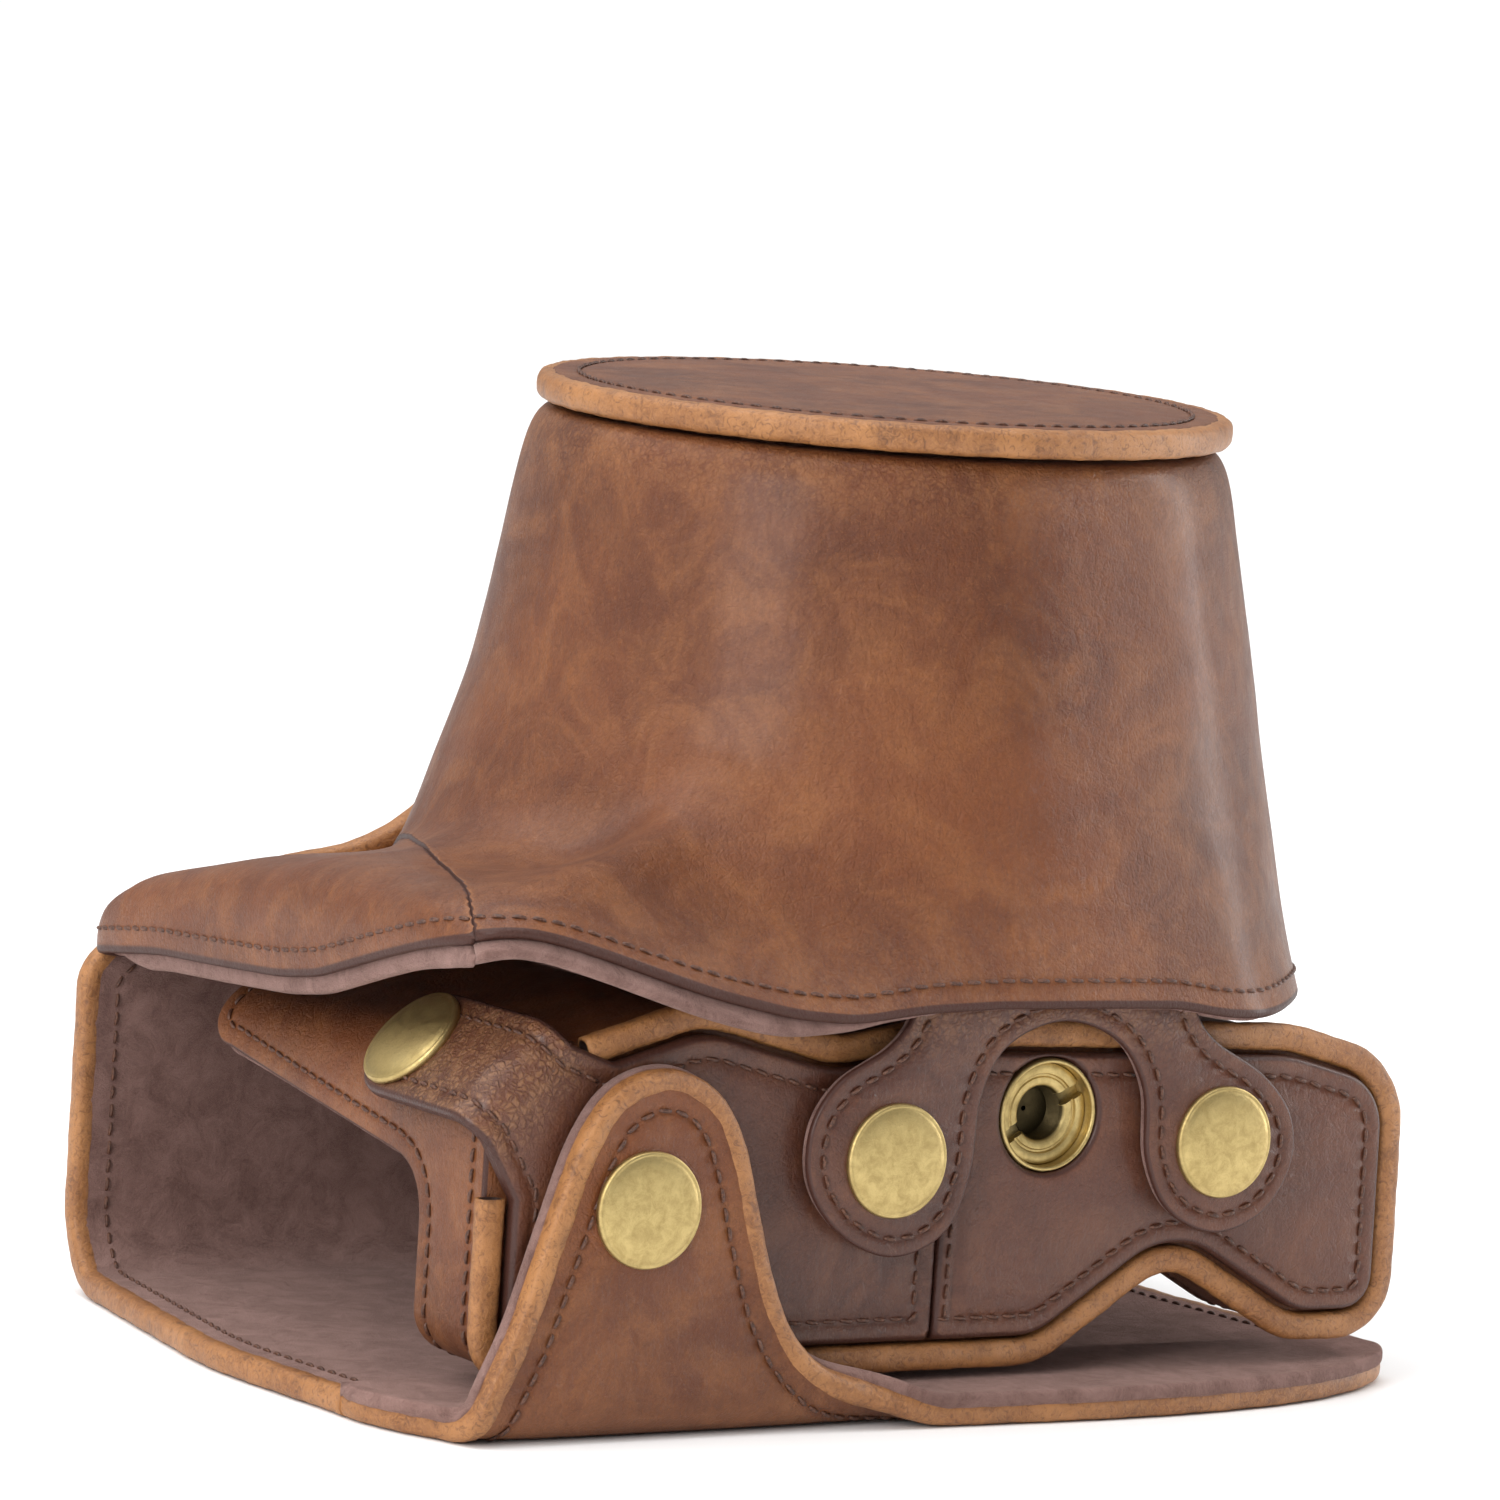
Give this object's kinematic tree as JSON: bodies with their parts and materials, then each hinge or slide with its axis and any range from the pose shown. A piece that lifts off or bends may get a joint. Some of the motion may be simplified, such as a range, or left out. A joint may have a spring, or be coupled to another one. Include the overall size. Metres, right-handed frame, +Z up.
{
  "type": "leather ever ready case",
  "caption": "Leather ever ready case for a mirrorless camera: half case with a slotted tripod screw and battery flap, and a removable cover with a lens snout.",
  "frame": {"origin": "centre of the footprint on the face the case lies on, the outer face of the back panel", "axes": "+X along the case's width, +Y from the case's bottom face to the top of the camera, +Z up, along the lens snout"},
  "size_m": [0.1286, 0.1014, 0.1098],
  "materials": {
    "brown_leather": "semi-gloss pull-up leather with fine grain and creases",
    "plate_leather": "smooth dark semi-gloss leather with painted edges",
    "tan_leather": "pebbled tan leather, folded over the edges",
    "suede": "brushed suede lining",
    "antique_brass": "antique brass, satin",
    "waxed_thread": "waxed brown thread"
  },
  "bodies": {
    "half_case": {"front_panel": "brown_leather", "front_panel_lining": "suede", "low_wall": "brown_leather", "low_wall_lining": "suede", "base_panel": "brown_leather", "base_lining": "suede", "base_welt": "tan_leather", "fixed_bottom_plate": "plate_leather", "screw_bush": "antique_brass", "corner_stud": "antique_brass", "plate_stud": "antique_brass"},
    "tripod_screw": {"tripod_screw": "antique_brass", "screw_retaining_ring": "antique_brass"},
    "battery_flap": {"battery_flap": "plate_leather", "flap_stud_for_front_tab": "antique_brass", "flap_stud_for_back_tab": "antique_brass"},
    "flap_strap": {"flap_strap": "plate_leather", "strap_snap_socket": "antique_brass", "strap_snap_cap": "antique_brass"},
    "cover": {"snout": "brown_leather", "snout_flare": "brown_leather", "snout_lining": "suede", "left_shoulder": "brown_leather", "left_shoulder_lining": "suede", "right_shoulder": "brown_leather", "right_shoulder_lining": "suede", "lid": "brown_leather", "lid_binding": "tan_leather", "lid_lining": "suede", "top_panel": "brown_leather", "top_panel_lining": "suede", "top_panel_binding": "tan_leather"},
    "front_tab": {"front_tab": "plate_leather", "front_tab_lining": "suede", "left_lobe_snap_socket": "antique_brass", "left_lobe_snap_cap": "antique_brass", "right_lobe_snap_socket": "antique_brass", "right_lobe_snap_cap": "antique_brass"},
    "back_panel": {"back_panel": "brown_leather", "back_panel_lining": "suede", "back_panel_binding": "tan_leather"},
    "back_tab": {"back_tab": "brown_leather", "back_tab_lining": "suede", "back_tab_binding": "tan_leather", "back_tab_snap_socket": "antique_brass", "back_tab_snap_cap": "antique_brass"}
  },
  "joints": [
    {"name": "tripod_screw_turn", "type": "hinge", "parent": "half_case", "child": "tripod_screw", "pos_m": [0.00966, -0.04141, 0.0328], "axis": [0, -1, 0], "continuous": true},
    {"name": "battery_flap_open", "type": "hinge", "parent": "half_case", "child": "battery_flap", "pos_m": [-0.00364, -0.04401, 0.023], "axis": [0, 0, 1], "range_deg": [0, 65.05]},
    {"name": "strap_open", "type": "hinge", "parent": "battery_flap", "child": "flap_strap", "pos_m": [-0.05833, -0.04191, 0.03895], "axis": [0.6832, 0, 0.7302], "range_deg": [0, 90.05]},
    {"name": "cover_lift", "type": "slide", "parent": "half_case", "child": "cover", "axis": [0, 0, 1], "range_m": [0, 0.075]},
    {"name": "front_tab_open", "type": "hinge", "parent": "cover", "child": "front_tab", "pos_m": [0.00966, -0.04701, 0.0444], "axis": [-1, 0, 0], "range_deg": [0, 100.05]},
    {"name": "back_panel_open", "type": "hinge", "parent": "cover", "child": "back_panel", "pos_m": [-0.00134, 0.04019, 0], "axis": [1, 0, 0], "range_deg": [0, 165.05]},
    {"name": "back_tab_open", "type": "hinge", "parent": "back_panel", "child": "back_tab", "pos_m": [-0.00134, -0.04581, 0.0034], "axis": [1, 0, 0], "range_deg": [0, 90]}
  ],
  "couplings": [
    {"joint": "battery_flap_open", "follows": "cover_lift", "rad_per_m": 15.126},
    {"joint": "strap_open", "follows": "cover_lift", "rad_per_m": 20.944},
    {"joint": "front_tab_open", "follows": "cover_lift", "rad_per_m": 23.271},
    {"joint": "back_panel_open", "follows": "cover_lift", "rad_per_m": 38.397}
  ]
}
